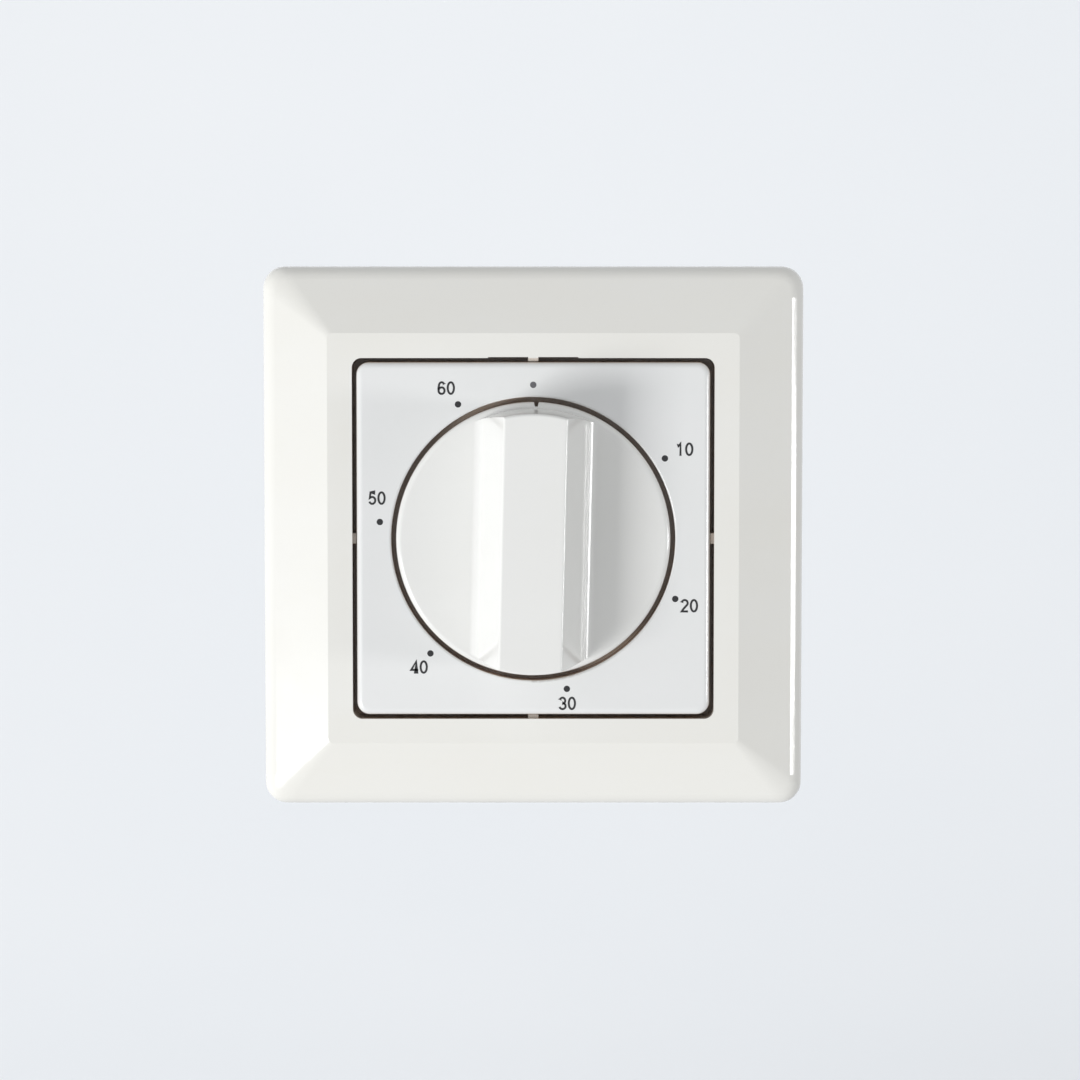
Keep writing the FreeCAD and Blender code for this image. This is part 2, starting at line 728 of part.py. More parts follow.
def make_movement_plate(name, front, arbor_hole, pillar_hole, extra):
    """One of the two brass plates of the clockwork, pierced for the arbor, pivots and pillars."""
    body = new_body(name)
    blank = new_sketch(body, lift=front)
    clipped_circle(blank, size_of("movement_radius"), size_of("movement_half_width"))
    pad(body, blank, size_of("movement_thickness"), reverse=True)
    holes = new_sketch(body, lift=front)
    circle(holes, arbor_hole)
    for x, y in pillar_places():
        circle(holes, pillar_hole, x, y)
    for x, y in PIVOTS:
        circle(holes, PIVOT_RADIUS * 2 + 0.1, x, y)
    for x, y, diameter in extra:
        circle(holes, diameter, x, y)
    pocket(body, holes, size_of("movement_thickness"))
    return keep(body)


def plain_cylinder(name, radius, low, high, at=ARBOR_AT):
    """A Part cylinder along bench z."""
    rod = doc.addObject("Part::Cylinder", name)
    rod.setExpression("Radius", text_of(radius))
    rod.setExpression("Height", text_of(high - low))
    rod.Placement = Placement(Vector(at[0], at[1], float(low)), Rotation())
    return rod


def joined(name, pieces):
    """One sub-part made of pieces that are united; separate pieces stay separate solids."""
    union = doc.addObject("Part::MultiFuse", name)
    union.Shapes = pieces
    union.Label = name
    doc.recompute()
    return keep(union)


def shaped(name, shape, turn=None):
    """A sub-part whose shape Part's functions have made."""
    item = doc.addObject("Part::Feature", name)
    item.Label = name
    item.Shape = shape
    return keep(item, turn)


def bored(rod, radius, low, high, at):
    """The rod with a bore along its axis."""
    hole = plain_cylinder(rod.Name + "_bore", radius, low, high, at)
    cut = doc.addObject("Part::Cut", rod.Name + "_bored")
    cut.Base = rod
    cut.Tool = hole
    return cut


def make_pillars():
    """Four turned pillars: a tapped front end and a stud through the rear plate."""
    radius = size_of("pillar_diameter") / 2
    front = FRONT_FACE - SHEET
    pieces = []
    for index, at in enumerate(pillar_places()):
        body = plain_cylinder(f"pillar_{index}", radius, REAR_FACE, front, at)
        pieces.append(bored(body, 1.25, front - 5.0, front + 1.0, at))
        pieces.append(plain_cylinder(f"stud_{index}", 0.95, REAR_FACE - SHEET - 1.9, REAR_FACE, at))
    return joined("pillars", pieces)


def make_pillar_spacers():
    """Four bushes between the clockwork's front plate and the support plate."""
    pieces = []
    for index, at in enumerate(pillar_places()):
        tube = plain_cylinder(f"spacer_{index}", 2.1, FRONT_FACE, -0.02, at)
        pieces.append(bored(tube, 1.3, FRONT_FACE - 1.0, 1.0, at))
    return joined("pillar_spacers", pieces)


def slotted_screw(at, shank, tip, seat, head, head_height):
    """A cheese-head screw along bench z, its head towards the user, with a straight slot."""
    x, y = at
    along = Vector(0, 0, 1)
    rod = Part.makeCylinder(shank, seat - tip, Vector(x, y, tip), along)
    cap = Part.makeCylinder(head, head_height, Vector(x, y, seat), along)
    rim = [edge for edge in cap.Edges if abs(edge.BoundBox.ZMin - seat - head_height) < 1e-6]
    cap = cap.makeFillet(head_height * 0.3, rim[:1])
    slot = Part.makeBox(head * 2.4, head * 0.3, head_height, Vector(-head * 1.2, -head * 0.15, 0))
    slot.Placement = Placement(Vector(x, y, seat + head_height * 0.5), Rotation(along, 35))
    return rod.fuse(cap).removeSplitter().cut(slot)


def make_pillar_screws():
    """Four screws through the support plate into the pillars."""
    seat = float(size_of("support_thickness")) + 0.02
    screws = [slotted_screw(at, 1.2, FRONT_FACE - SHEET - 4.5, seat, 2.2, 1.4) for at in pillar_places()]
    return shaped("pillar_screws", Part.makeCompound(screws))


def hexagon_prism(at, across, low, high):
    """A six-sided prism along bench z."""
    corner = across / 2 / math.cos(math.pi / 6)
    points = [Vector(*turned(corner, 60 * i, at), low) for i in range(6)]
    return Part.Face(Part.makePolygon(points + points[:1])).extrude(Vector(0, 0, high - low))


def make_pillar_nuts():
    """Four nuts on the pillars' rear studs."""
    nuts = []
    top = REAR_FACE - SHEET - 0.02
    for x, y in pillar_places():
        nut = hexagon_prism((x, y), 4.0, top - 1.6, top)
        nuts.append(nut.cut(Part.makeCylinder(1.0, 3.0, Vector(x, y, top - 2.0))))
    return shaped("pillar_nuts", Part.makeCompound(nuts))


# ---------------------------------------------------------------- gear train


def roll_angle(radius, base):
    """The involute function at a radius outside the base circle."""
    pressure = math.acos(min(1.0, base / radius))
    return math.tan(pressure) - pressure


def spur_gear(teeth, phase, at, bore, low, high):
    """A bored spur gear with involute flanks; phase is the angle of a tooth's centre."""
    pitch = MODULE * teeth / 2
    base = pitch * math.cos(math.radians(25))
    tip, root = pitch + 0.7 * MODULE, pitch - MODULE
    thickness = math.pi * MODULE / 2 - 0.06
    lowest = max(base, root)
    span = math.degrees(thickness / 2 / pitch + roll_angle(pitch, base))
    radii = [lowest + (tip - lowest) * step / 3 for step in range(4)]
    flank = [(radius, span - math.degrees(roll_angle(radius, base))) for radius in radii]
    if root < base:
        flank.insert(0, (root, flank[0][1]))
    edges = []
    for tooth in range(teeth):
        middle = phase + 360.0 * tooth / teeth
        rising = [Vector(*turned(radius, middle - angle, at), 0) for radius, angle in flank]
        falling = [Vector(*turned(radius, middle + angle, at), 0) for radius, angle in reversed(flank)]
        crown = Vector(*turned(tip, middle, at), 0)
        edges += flank_edges(rising, root < base)
        edges.append(Part.Arc(rising[-1], crown, falling[0]).toShape())
        edges += flank_edges(falling[::-1], root < base)[::-1]
        foot = middle + 180.0 / teeth
        following = Vector(*turned(root, foot + 180.0 / teeth - flank[0][1], at), 0)
        edges.append(Part.Arc(falling[-1], Vector(*turned(root, foot, at), 0), following).toShape())
    face = Part.Face(Part.Wire(Part.__sortEdges__(edges)))
    return bored_plate(face, bore, at, low, high)


def bored_plate(face, bore, at, low, high):
    """The flat face, drawn at z = 0, as a plate from low to high with a round bore."""
    return extruded(face, low, high).cut(Part.makeCylinder(bore, high - low + 2, Vector(*at, low - 1)))


def flank_edges(points, radial_foot):
    """A flank from root to tip: a straight foot below the base circle, then the involute."""
    curve = Part.BSplineCurve()
    if radial_foot:
        curve.interpolate(points[1:])
        return [Part.makeLine(points[0], points[1]), curve.toShape()]
    curve.interpolate(points)
    return [curve.toShape()]


def extruded(face, low, high):
    """The flat face, drawn at z = 0, as a plate from low to high."""
    return face.translated(Vector(0, 0, low)).extrude(Vector(0, 0, high - low))


def crossed_out(wheel, at, rim, hub, spokes, low, high):
    """Cuts windows between rim and hub, leaving straight spokes."""
    ring = Part.makeCylinder(rim, high - low + 2, Vector(*at, low - 1))
    ring = ring.cut(Part.makeCylinder(hub, high - low + 4, Vector(*at, low - 2)))
    for index in range(spokes):
        bar = Part.makeBox(rim * 1.1, 1.1, high - low + 4, Vector(0, -0.55, 0))
        bar.Placement = Placement(Vector(*at, low - 2), Rotation(Vector(0, 0, 1), 360.0 * index / spokes))
        ring = ring.cut(bar)
    return wheel.cut(ring)


def mesh_phase(driver_phase, direction, driver_teeth, teeth):
    """The phase at which a gear meshes with its driver, along the direction between them."""
    return direction + 180 - (driver_phase - direction) * driver_teeth / teeth + 180.0 / teeth


MAIN_PHASE = 0.0
SECOND_PHASE = mesh_phase(MAIN_PHASE, heading(ARBOR_AT, SECOND_AT), MAIN, PINION)
THIRD_PHASE = mesh_phase(SECOND_PHASE, heading(SECOND_AT, THIRD_AT), SECOND, THIRD_PINION)
ESCAPE_PHASE = mesh_phase(THIRD_PHASE, heading(THIRD_AT, ESCAPE_AT), THIRD, ESCAPE_PINION)


def make_main_wheel():
    """The great wheel on the winding arbor, with a tapped hole for the click's pivot."""
    low, high = -9.0, -7.8
    bore = float(size_of("arbor_diameter")) / 2
    wheel = spur_gear(MAIN, MAIN_PHASE, ARBOR_AT, bore, low, high)
    x, y = CLICK_AT
    wheel = wheel.cut(Part.makeCylinder(0.65, 3, Vector(x, y, low - 1)))
    x, y = CLICK_SPRING_AT
    return shaped("main_wheel", wheel.cut(Part.makeCylinder(0.4, 3, Vector(x, y, low - 1))))


def make_wheel(name, teeth, phase, at, low, high):
    """A crossed-out brass wheel pressed on its pinion's arbor."""
    radius = MODULE * teeth / 2
    wheel = spur_gear(teeth, phase, at, STAFF_RADIUS, low, high)
    return shaped(name, crossed_out(wheel, at, radius - 2.0, 2.4, 5, low, high))


def make_pinion(name, teeth, phase, at, low, high):
    """A steel pinion in one piece with its arbor and two pivots."""
    top, bottom = FRONT_FACE - SHEET - 0.15, REAR_FACE + 0.15
    rod = Part.makeCylinder(STAFF_RADIUS, top - bottom, Vector(*at, bottom))
    pivot = Part.makeCylinder(PIVOT_RADIUS, top - bottom + 2 * SHEET, Vector(*at, bottom - SHEET))
    solid = rod.fuse(pivot)
    if teeth:
        solid = solid.fuse(spur_gear(teeth, phase, at, STAFF_RADIUS / 2, low, high))
    return shaped(name, solid.removeSplitter())


def make_escape_wheel():
    """Escape wheel with pointed teeth; each pallet pin starts a quarter pitch off a gap."""
    low, high = -12.0, -11.4
    tip = float(size_of("escape_tip_diameter")) / 2
    pitch = 360.0 / ESCAPE
    toward = heading(ESCAPE_AT, BALANCE_AT)
    first = toward + 3.5 * pitch / 2 + pitch * 0.25
    points = []
    for tooth in range(ESCAPE):
        middle = first + pitch * tooth
        for radius, shift in ((tip - 1.3, -0.2), (tip, -0.05), (tip, 0.05), (tip - 1.3, 0.2)):
            points.append(Vector(*turned(radius, middle + shift * pitch, ESCAPE_AT), 0))
    face = Part.Face(Part.makePolygon(points + points[:1]))
    wheel = bored_plate(face, STAFF_RADIUS, ESCAPE_AT, low, high)
    wheel = crossed_out(wheel, ESCAPE_AT, tip - 2.0, 1.5, 4, low, high)
    return shaped("escape_wheel", wheel)


PIN_RADIUS = 0.18
PIN_CLEARANCE = 0.06
PINS_APART = 3.5


def pallet_pins():
    """The two pallet pins, 3.5 teeth apart and just outside the escape wheel at mid swing."""
    toward = heading(ESCAPE_AT, BALANCE_AT)
    half = PINS_APART * 360.0 / ESCAPE / 2
    reach = float(size_of("escape_tip_diameter")) / 2 + PIN_CLEARANCE + PIN_RADIUS
    return [turned(reach, toward + half * sign, ESCAPE_AT) for sign in (-1, 1)]


def bar_between(start, end, width, low, high):
    """A flat bar with round ends between two points."""
    length = math.hypot(end[0] - start[0], end[1] - start[1])
    box = Part.makeBox(length, width, high - low, Vector(0, -width / 2, 0))
    box.Placement = Placement(Vector(*start, low), Rotation(Vector(0, 0, 1), heading(start, end)))
    for spot in (start, end):
        box = box.fuse(Part.makeCylinder(width / 2, high - low, Vector(*spot, low)))
    return box.removeSplitter()


def make_anchor():
    """Pin-pallet anchor: two arms from the balance staff, each with a steel pin."""
    low, high = -13.3, -12.4
    solid = Part.makeCylinder(1.4, high - low, Vector(*BALANCE_AT, low))
    for pin in pallet_pins():
        solid = solid.fuse(bar_between(BALANCE_AT, pin, 0.9, low, high))
        solid = solid.fuse(Part.makeCylinder(PIN_RADIUS, 2.1, Vector(*pin, low)))
    hole = Part.makeCylinder(STAFF_RADIUS, 3, Vector(*BALANCE_AT, low - 1))
    return shaped("anchor", solid.cut(hole).removeSplitter())


def make_balance_wheel():
    """Inertia wheel of the escapement: a heavy rim on one cross bar."""
    low, high = -5.5, -4.3
    radius = float(size_of("balance_diameter")) / 2
    wheel = Part.makeCylinder(radius, high - low, Vector(*BALANCE_AT, low))
    wheel = crossed_out(wheel, BALANCE_AT, radius - 1.1, 1.4, 2, low, high)
    hole = Part.makeCylinder(STAFF_RADIUS, 4, Vector(*BALANCE_AT, low - 1))
    return shaped("balance_wheel", wheel.cut(hole))


# ---------------------------------------------------------------- mainspring, ratchet and click


RATCHET_TEETH = 12
RATCHET_LOW, RATCHET_HIGH = -9.75, -9.2
CLICK_AT = (8.6, 3.4)
CLICK_SPRING_AT = (-2.0, 9.8)


def make_mainspring():
    """Flat spiral spring round the arbor, its inner end on the arbor, its outer end on a post."""
    inner, outer, turns = 3.05, 9.15, 4.5
    height, thickness = 4.6, 0.28
    start = 225.0 - 360.0 * turns
    count = 24 * int(turns * 2)
    sides = []
    for shift in (-thickness / 2, thickness / 2):
        points = []
        for step in range(count + 1):
            part = step / count
            radius = inner + thickness / 2 + (outer - inner) * part + shift
            points.append(Vector(*turned(radius, start + 360.0 * turns * part), 0))
        curve = Part.BSplineCurve()
        curve.interpolate(points[::4])
        sides.append(curve.toShape())
    caps = [Part.makeLine(sides[0].Vertexes[i].Point, sides[1].Vertexes[i].Point) for i in (0, -1)]
    face = Part.Face(Part.Wire(Part.__sortEdges__(sides + caps)))
    return shaped("mainspring", extruded(face, -14.8, -14.8 + height))


def make_ratchet_wheel():
    """Ratchet on the arbor: sloped backs, radial fronts."""
    outer, inner = 5.0, 4.1
    points = []
    for tooth in range(RATCHET_TEETH):
        angle = 360.0 * tooth / RATCHET_TEETH
        points.append(Vector(*turned(inner, angle), 0))
        points.append(Vector(*turned(outer, angle), 0))
    bore = float(size_of("arbor_diameter")) / 2
    face = Part.Face(Part.makePolygon(points + points[:1]))
    return shaped("ratchet_wheel", bored_plate(face, bore, ARBOR_AT, RATCHET_LOW, RATCHET_HIGH))


def make_click():
    """Pawl on the main wheel: a lever with a nose for the ratchet, and its pivot pin."""
    lever = bar_between(CLICK_AT, turned(5.75, 62.0), 1.1, RATCHET_LOW, RATCHET_HIGH)
    tail = bar_between(CLICK_AT, (9.6, 1.2), 1.1, RATCHET_LOW, RATCHET_HIGH)
    pin = Part.makeCylinder(0.6, 1.9, Vector(*CLICK_AT, RATCHET_LOW))
    return shaped("click", lever.fuse([tail, pin]).removeSplitter())


def make_click_spring():
    """Thin leaf that holds the click down, riveted to the main wheel."""
    leaf = bar_between(CLICK_SPRING_AT, (4.47, 5.33), 0.25, RATCHET_LOW, RATCHET_HIGH)
    foot = Part.makeCylinder(0.38, RATCHET_HIGH - RATCHET_LOW + 1.2, Vector(*CLICK_SPRING_AT, RATCHET_LOW))
    return shaped("click_spring", leaf.fuse(foot).removeSplitter())


# ---------------------------------------------------------------- switch and terminals


CARRIER_FRONT, CARRIER_BACK = -20.6, -22.4
CAM_LOW, CAM_HIGH = -20.0, -17.6
FIXED_CONTACT_AT = (9.4, -9.2)
LEAF_FOOT_AT = (-13.6, -8.6)


def make_arbor_ring():
    """Retaining ring in the arbor's groove behind the rear plate."""
    top = REAR_FACE - SHEET - 0.35
    body = new_body("arbor_ring")
    ring = new_sketch(body, lift=top - 0.6)
    circle(ring, size_of("arbor_diameter") - 0.9)
    circle(ring, size_of("arbor_diameter") + 2.6)
    pad(body, ring, 0.6)
    gap = new_sketch(body, lift=top, at=(0.0, -3.6))
    rectangle(gap, 3.4, 4.0)
    pocket(body, gap, 0.6)
    return keep(body)


def make_cam():
    """Cam on the arbor: a round disc with a notch into which the leaf's nose drops at off."""
    body = new_body("cam")
    disc = new_sketch(body, lift=CAM_LOW)
    circle(disc, size_of("cam_diameter"))
    circle(disc, size_of("arbor_diameter"))
    pad(body, disc, CAM_HIGH - CAM_LOW)
    notch = new_sketch(body, lift=CAM_HIGH, at=(0.0, -size_of("cam_diameter") / 2))
    polygon(notch, [(-2.4, -0.5), (2.4, -0.5), (1.1, 1.7), (-1.1, 1.7)])
    pocket(body, notch, CAM_HIGH - CAM_LOW)
    return keep(body)


def make_contact_carrier():
    """Insulating base of the switch, with two posts up to the clockwork's rear plate."""
    body = new_body("contact_carrier")
    base = new_sketch(body, lift=CARRIER_BACK)
    clipped_circle(base, size_of("movement_radius"), size_of("movement_half_width"))
    pad(body, base, CARRIER_FRONT - CARRIER_BACK)
    posts = new_sketch(body, lift=CARRIER_FRONT)
    for x, y in BOSS_PLACES:
        circle(posts, 5.0, x, y)
    pad(body, posts, REAR_FACE - SHEET - CARRIER_FRONT - 0.02)
    holes = new_sketch(body, lift=REAR_FACE)
    circle(holes, size_of("arbor_diameter") + 2.0)
    for x, y in BOSS_PLACES:
        circle(holes, 2.6, x, y)
    for x, y in (FIXED_CONTACT_AT, LEAF_FOOT_AT):
        circle(holes, 2.0, x, y)
    pocket(body, holes, REAR_FACE - CARRIER_BACK + 1.0)
    return keep(body)


def make_carrier_screws():
    """Two screws from behind through the carrier's posts into the rear plate."""
    screws = []
    for x, y in BOSS_PLACES:
        screw = slotted_screw((x, -y), 1.2, -CARRIER_BACK - 6.7, -CARRIER_BACK + 0.02, 2.1, 1.3)
        screw.rotate(Vector(0, 0, 0), Vector(1, 0, 0), 180)
        screws.append(screw)
    return shaped("carrier_screws", Part.makeCompound(screws))


def make_moving_contact():
    """Bronze leaf on edge: riveted foot, nose for the cam's notch, silver tip at the free end."""
    low, high = CAM_LOW + 0.3, CAM_HIGH - 0.2
    path = [LEAF_FOOT_AT, (-2.2, -8.0), (0.0, -6.35), (2.2, -8.0), (9.4, -7.75)]
    leaf = None
    for start, end in zip(path, path[1:]):
        piece = bar_between(start, end, 0.25, low, high)
        leaf = piece if leaf is None else leaf.fuse(piece)
    x, y = LEAF_FOOT_AT
    foot = Part.makeCylinder(0.95, high - CARRIER_BACK, Vector(x, y, CARRIER_BACK))
    tip = Part.makeCylinder(0.9, 0.5, Vector(9.0, -7.75, (low + high) / 2), Vector(0, -1, 0))
    return shaped("moving_contact", leaf.fuse([foot, tip]).removeSplitter())


def make_fixed_contact():
    """Brass post with a silver button that the leaf's tip meets when the timer is wound."""
    x, y = FIXED_CONTACT_AT
    post = Part.makeCylinder(0.95, CAM_HIGH - CARRIER_BACK - 0.2, Vector(x, y, CARRIER_BACK))
    button = Part.makeCylinder(0.8, 0.9, Vector(x - 0.4, y, CAM_LOW + 1.2), Vector(0, 1, 0))
    return shaped("fixed_contact", post.fuse(button).removeSplitter())


TERMINAL_FRONT, TERMINAL_BACK = CARRIER_BACK - 0.02, -29.0


def make_terminals():
    """Three brass clamp blocks, each bored for a wire from behind and tapped for a screw."""
    pieces = []
    bore = size_of("wire_bore") / 2
    for index, (x, y) in enumerate(terminal_places()):
        block = doc.addObject("Part::Box", f"terminal_{index}")
        block.Length, block.Width, block.Height = 6.0, 7.0, TERMINAL_FRONT - TERMINAL_BACK
        block.Placement = Placement(Vector(x - 3.0, y - 4.2, TERMINAL_BACK), Rotation())
        wired = bored(block, bore, TERMINAL_BACK - 1.0, TERMINAL_BACK + 5.4, (x, y))
        tap = doc.addObject("Part::Cylinder", f"terminal_{index}_tap")
        tap.Radius, tap.Height = 1.35, 4.0
        tap.Placement = Placement(Vector(x, y - 1.0, -26.0), Rotation(Vector(1, 0, 0), 90))
        cut = doc.addObject("Part::Cut", f"terminal_{index}_tapped")
        cut.Base, cut.Tool = wired, tap
        pieces.append(cut)
    return joined("terminals", pieces)


def make_terminal_screws():
    """Clamp screws, reached from below through the housing's holes."""
    screws = []
    for x, y in terminal_places():
        screw = slotted_screw((0.0, 0.0), 1.3, -2.3, 0.0, 2.0, 1.3)
        screw.rotate(Vector(0, 0, 0), Vector(1, 0, 0), 90)
        screw.translate(Vector(x, y - 4.35, -26.0))
        screws.append(screw)
    return shaped("terminal_screws", Part.makeCompound(screws))


# ---------------------------------------------------------------- claws and rivets


def claw_place(side):
    return float(size_of("claw_pitch")) / 2 * side


CLAW_FOOT = -18.4
CLAW_FOOT_SHEET = 1.2
CLAW_TOE = -1.7
CLAW_SHEET = 1.0
CLAW_REACH = 3.6
CLAW_PIVOT = 0.6
CLAW_TEETH = (-15.8, -12.6)
CLAW_TOOTH = 0.8
CLAW_EAR_GAP = 1.6


def make_claw(name, side):
    """Spreading claw: a toothed strip hung on two round-ended ears, with a foot tapped for its screw."""
    body = new_body(name)
    at = (claw_place(side), 0.0)
    inner, ear_top = CLAW_REACH - CLAW_SHEET, CLAW_PIVOT + CLAW_SHEET / 2
    outline = new_sketch(body, plane="XZ_Plane", at=at)
    foot_rear = CLAW_FOOT - CLAW_FOOT_SHEET
    points = [(CLAW_TOE, foot_rear), (CLAW_REACH, foot_rear)]
    for tooth in CLAW_TEETH:
        points += [(CLAW_REACH, tooth - CLAW_TOOTH), (CLAW_REACH + CLAW_TOOTH, tooth),
                   (CLAW_REACH, tooth + CLAW_TOOTH * 1.25)]
    points += [(CLAW_REACH, ear_top), (0.0, ear_top), (0.0, ear_top - CLAW_SHEET),
               (inner, ear_top - CLAW_SHEET), (inner, CLAW_FOOT), (CLAW_TOE, CLAW_FOOT)]
    polygon(outline, [(x * side, z) for x, z in points])
    pad(body, outline, CLAW_WIDTH, both=True)
    ends = new_sketch(body, plane="XZ_Plane", at=at)
    circle(ends, CLAW_SHEET, 0.0, CLAW_PIVOT)
    pad(body, ends, CLAW_WIDTH, both=True)
    gap = new_sketch(body, lift=ear_top, at=at)
    half = CLAW_WIDTH / 2 - CLAW_EAR
    near, far = -CLAW_SHEET, CLAW_REACH + CLAW_SHEET
    polygon(gap, [(x * side, y) for x, y in ((near, -half), (far, -half), (far, half), (near, half))])
    pocket(body, gap, ear_top + CLAW_EAR_GAP)
    hole = new_sketch(body, lift=CLAW_FOOT, at=at)
    circle(hole, size_of("claw_screw_diameter") + 0.1)
    pocket(body, hole, CLAW_FOOT_SHEET)
    return keep(body)


def make_claw_screw(name, side):
    """Claw screw: a long shank through the plate's slot, its head in front of the plate."""
    seat = float(size_of("support_thickness")) + 0.6
    shank = float(size_of("claw_screw_diameter")) / 2
    screw = slotted_screw((claw_place(side), 0.0), shank, CLAW_FOOT - 1.6, seat, 2.5, 1.7)
    return shaped(name, screw)


RIVET_RADIUS = 0.95
RIVET_BORE_RADIUS = 0.5
RIVET_LIP = 0.4
RIVET_LIP_RADIUS = 1.2
RIVET_PLAY = 0.02


def make_housing_rivets():
    """Four hollow rivets that hold the housing's flange to the support plate."""
    rivets = []
    front, rear = float(size_of("support_thickness")), -float(size_of("housing_flange_thickness"))
    length, low = front - rear + RIVET_LIP * 2, rear - RIVET_LIP
    for x, y in rivet_places():
        rivet = Part.makeCylinder(RIVET_RADIUS, length, Vector(x, y, low))
        for lip in (front + RIVET_PLAY, low - RIVET_PLAY):
            rivet = rivet.fuse(Part.makeCylinder(RIVET_LIP_RADIUS, RIVET_LIP, Vector(x, y, lip)))
        bore = Part.makeCylinder(RIVET_BORE_RADIUS, length * 2, Vector(x, y, low - length / 2))
        rivets.append(rivet.cut(bore).removeSplitter())
    return shaped("housing_rivets", Part.makeCompound(rivets))


def make_spring_post():
    """Post on the rear plate that holds the mainspring's outer end."""
    post = Part.makeCylinder(0.6, 5.3, Vector(*SPRING_POST_AT, REAR_FACE + 0.02))
    stem = Part.makeCylinder(0.45, SHEET + 0.4, Vector(*SPRING_POST_AT, REAR_FACE - SHEET - 0.2))
    return shaped("spring_post", post.fuse(stem).removeSplitter())


# ---------------------------------------------------------------- build, check and write


def build_everything():
    make_frame()
    make_centre_plate()
    make_knob()
    make_knob_clip()
    make_bush()
    make_ring("lock_washer", 5.15, 7.5, 5.85, 6.3)
    make_ring("bush_nut", 5.05, 7.0, 6.3, 8.1, sides=6)
    make_arbor()
    make_support_plate()
    make_housing()
    make_housing_rivets()
    make_movement_plate("front_movement_plate", FRONT_FACE, 6.1, 2.6, [])
    rear_extra = [(*SPRING_POST_AT, 1.0)] + [(x, y, 2.45) for x, y in BOSS_PLACES]
    make_movement_plate("rear_movement_plate", REAR_FACE, 6.1, 2.0, rear_extra)
    make_pillars()
    make_pillar_spacers()
    make_pillar_screws()
    make_pillar_nuts()
    make_main_wheel()
    make_ratchet_wheel()
    make_click()
    make_click_spring()
    make_mainspring()
    make_spring_post()
    make_pinion("second_pinion", PINION, SECOND_PHASE, SECOND_AT, -9.4, -7.4)
    make_wheel("second_wheel", SECOND, SECOND_PHASE, SECOND_AT, -6.9, -6.1)
    make_pinion("third_pinion", THIRD_PINION, THIRD_PHASE, THIRD_AT, -7.2, -5.6)
    make_wheel("third_wheel", THIRD, THIRD_PHASE, THIRD_AT, -5.2, -4.4)
    make_pinion("escape_pinion", ESCAPE_PINION, ESCAPE_PHASE, ESCAPE_AT, -5.6, -4.0)
    make_escape_wheel()
    make_pinion("balance_staff", 0, 0.0, BALANCE_AT, 0.0, 0.0)
    make_balance_wheel()
    make_anchor()
    make_arbor_ring()
    make_cam()
    make_contact_carrier()
    make_carrier_screws()
    make_moving_contact()
    make_fixed_contact()
    make_terminals()
    make_terminal_screws()
    for name, side in (("left", -1.0), ("right", 1.0)):
        make_claw(f"claw_{name}", side)
        make_claw_screw(f"claw_screw_{name}", side)


def check_document():
    """Stops if a feature failed or a sub-part has no sound shape."""
    doc.recompute()
    for item in doc.Objects:
        if "Invalid" in item.State or "Error" in item.State:
            raise ValueError(f"{item.Label} did not recompute: {item.State}")
    for part in subparts:
        if part.Shape.isNull() or not part.Shape.isValid():
            raise ValueError(f"{part.Label} has no valid shape")


build_everything()
check_document()
os.makedirs("parts", exist_ok=True)
for part in subparts:
    part.Shape.exportStep(f"parts/{part.Label}.step")
    print(f"{part.Label:22s} {len(part.Shape.Solids)} solids  {part.Shape.Volume:10.2f} mm3")
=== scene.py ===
import json
import math

import bmesh
import bpy
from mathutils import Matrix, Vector


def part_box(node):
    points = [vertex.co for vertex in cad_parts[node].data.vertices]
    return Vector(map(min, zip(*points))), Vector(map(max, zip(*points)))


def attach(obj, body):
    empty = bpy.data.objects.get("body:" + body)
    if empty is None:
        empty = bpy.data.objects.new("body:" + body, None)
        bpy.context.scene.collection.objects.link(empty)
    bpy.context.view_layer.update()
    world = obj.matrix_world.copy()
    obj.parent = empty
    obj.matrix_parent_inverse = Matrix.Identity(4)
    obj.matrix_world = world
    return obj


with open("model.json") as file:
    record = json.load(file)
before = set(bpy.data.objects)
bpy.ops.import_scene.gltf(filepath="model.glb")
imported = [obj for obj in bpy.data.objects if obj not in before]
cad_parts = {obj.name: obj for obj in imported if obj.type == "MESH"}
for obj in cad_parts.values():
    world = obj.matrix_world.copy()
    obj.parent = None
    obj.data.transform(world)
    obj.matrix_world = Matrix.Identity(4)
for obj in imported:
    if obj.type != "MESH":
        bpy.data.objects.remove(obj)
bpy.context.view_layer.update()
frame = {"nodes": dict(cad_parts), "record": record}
NODES = frame["nodes"]
MM = 0.001

# ------------------------------------------------------------------ material building blocks


